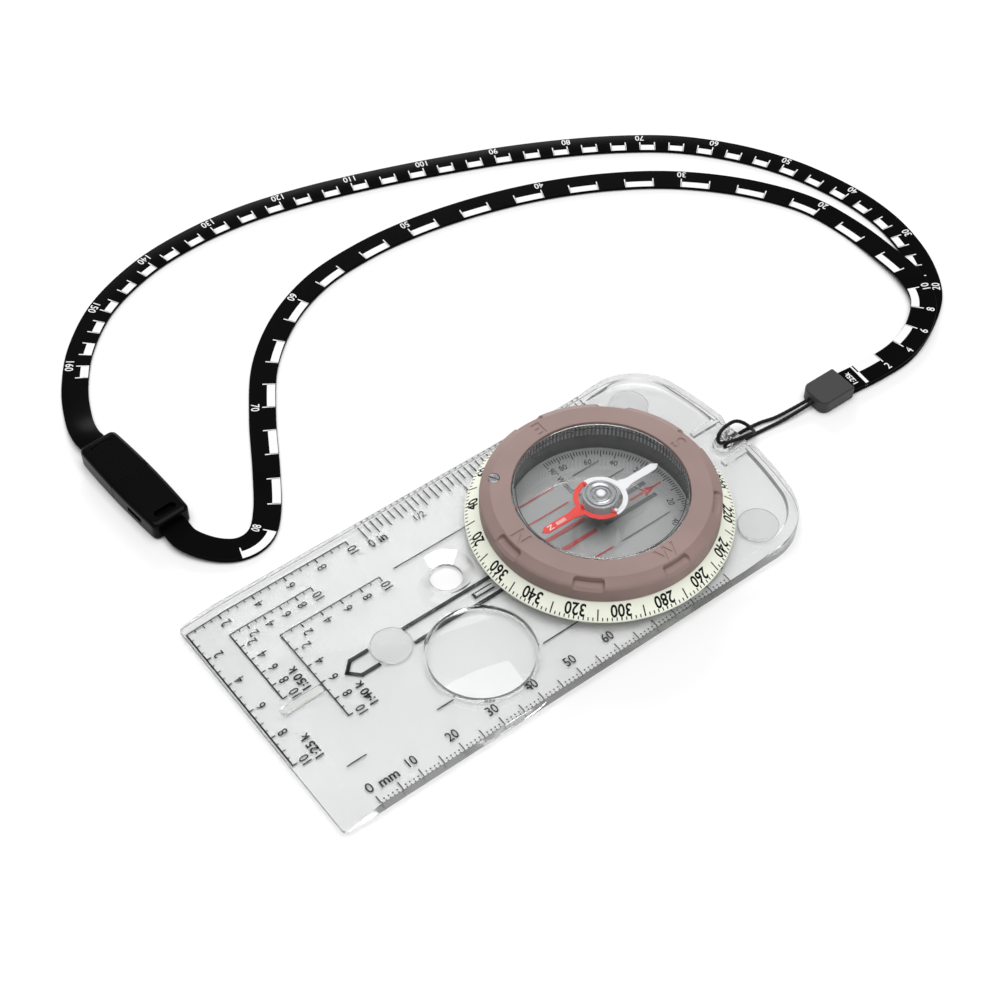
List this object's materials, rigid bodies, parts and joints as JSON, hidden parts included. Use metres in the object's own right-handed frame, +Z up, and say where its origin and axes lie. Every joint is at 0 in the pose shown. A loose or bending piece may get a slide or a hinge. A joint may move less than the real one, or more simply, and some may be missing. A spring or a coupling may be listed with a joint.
{
  "type": "baseplate compass",
  "caption": "Clear baseplate compass with a turning dial, a capsule set by a declination screw, a tilting needle, a magnifier and a scaled strap lanyard with a clasp.",
  "frame": {"origin": "on the surface it lies on, under the middle of the baseplate, the lanyard not counted", "axes": "+Y along the plate in the direction of travel, +Z up through the dial, +X across the plate to the inch ruler"},
  "size_m": [0.1653, 0.2093, 0.0124],
  "materials": {
    "baseplate": "clear acrylic, polished",
    "foot_front": "translucent silicone",
    "foot_rear_left": "translucent silicone",
    "foot_rear_right": "translucent silicone",
    "luminous_strip": "luminous compound",
    "grip_ring": "satin moulded",
    "dial_ring": "luminous cream, satin",
    "retaining_ring": "moulded",
    "bearing_ring": "moulded",
    "scale_disc": "frosted, printed",
    "capsule_cup": "clear acrylic",
    "capsule_lid": "clear acrylic",
    "capsule_seal": "matt",
    "capsule_gear": "moulded",
    "orienting_disc": "frosted, printed",
    "pivot_pin": "polished point",
    "declination_screw": "turned",
    "screw_pinion": "cut",
    "magnet_housing": "moulded",
    "magnet": "ground",
    "jewel_bearing": "polished synthetic ruby",
    "hub_cap": "clear, stepped dome",
    "needle": "enamel",
    "lanyard_loop": "braided cord",
    "lanyard_ferrule": "moulded",
    "strap_inner": "coated webbing, printed",
    "strap_outer": "coated webbing, printed",
    "clasp_socket": "moulded",
    "clasp_plug": "moulded"
  },
  "bodies": {
    "plate": {"baseplate": "baseplate", "foot_front": "foot_front", "foot_rear_left": "foot_rear_left", "foot_rear_right": "foot_rear_right", "luminous_strip": "luminous_strip", "lanyard_loop": "lanyard_loop", "lanyard_ferrule": "lanyard_ferrule", "strap_inner": "strap_inner", "strap_outer": "strap_outer", "clasp_socket": "clasp_socket"},
    "bezel": {"grip_ring": "grip_ring", "dial_ring": "dial_ring", "retaining_ring": "retaining_ring", "bearing_ring": "bearing_ring", "scale_disc": "scale_disc"},
    "capsule": {"capsule_cup": "capsule_cup", "capsule_lid": "capsule_lid", "capsule_seal": "capsule_seal", "capsule_gear": "capsule_gear", "orienting_disc": "orienting_disc", "pivot_pin": "pivot_pin"},
    "screw": {"declination_screw": "declination_screw", "screw_pinion": "screw_pinion"},
    "magnet_hub": {"magnet_housing": "magnet_housing", "magnet": "magnet", "jewel_bearing": "jewel_bearing", "hub_cap": "hub_cap"},
    "needle": {"needle": "needle"},
    "clasp_plug": {"clasp_plug": "clasp_plug"}
  },
  "joints": [
    {"name": "dial_turn", "type": "hinge", "parent": "plate", "child": "bezel", "pos_m": [0, -0.024, 0.005], "axis": [0, 0, 1], "continuous": true},
    {"name": "declination_turn", "type": "hinge", "parent": "bezel", "child": "capsule", "pos_m": [0, -0.024, 0.005], "axis": [0, 0, 1], "range_deg": [-90, 90]},
    {"name": "declination_screw_turn", "type": "hinge", "parent": "bezel", "child": "screw", "pos_m": [0.01633, -0.00767, 0.01], "axis": [0, 0, 1], "range_deg": [-1300, 1300]},
    {"name": "needle_spin", "type": "hinge", "parent": "capsule", "child": "magnet_hub", "pos_m": [0, -0.024, 0.0093], "axis": [0, 0, 1], "continuous": true},
    {"name": "needle_tilt", "type": "hinge", "parent": "magnet_hub", "child": "needle", "pos_m": [0, -0.024, 0.009], "axis": [1, 0, 0], "range_deg": [-6, 6]},
    {"name": "clasp_release", "type": "slide", "parent": "plate", "child": "clasp_plug", "axis": [0.9984, 0.057, 0], "range_m": [0, 0.012], "deforming": ["strap_outer"]}
  ],
  "couplings": [
    {"joint": "declination_screw_turn", "follows": "declination_turn", "ratio": -14.4}
  ]
}
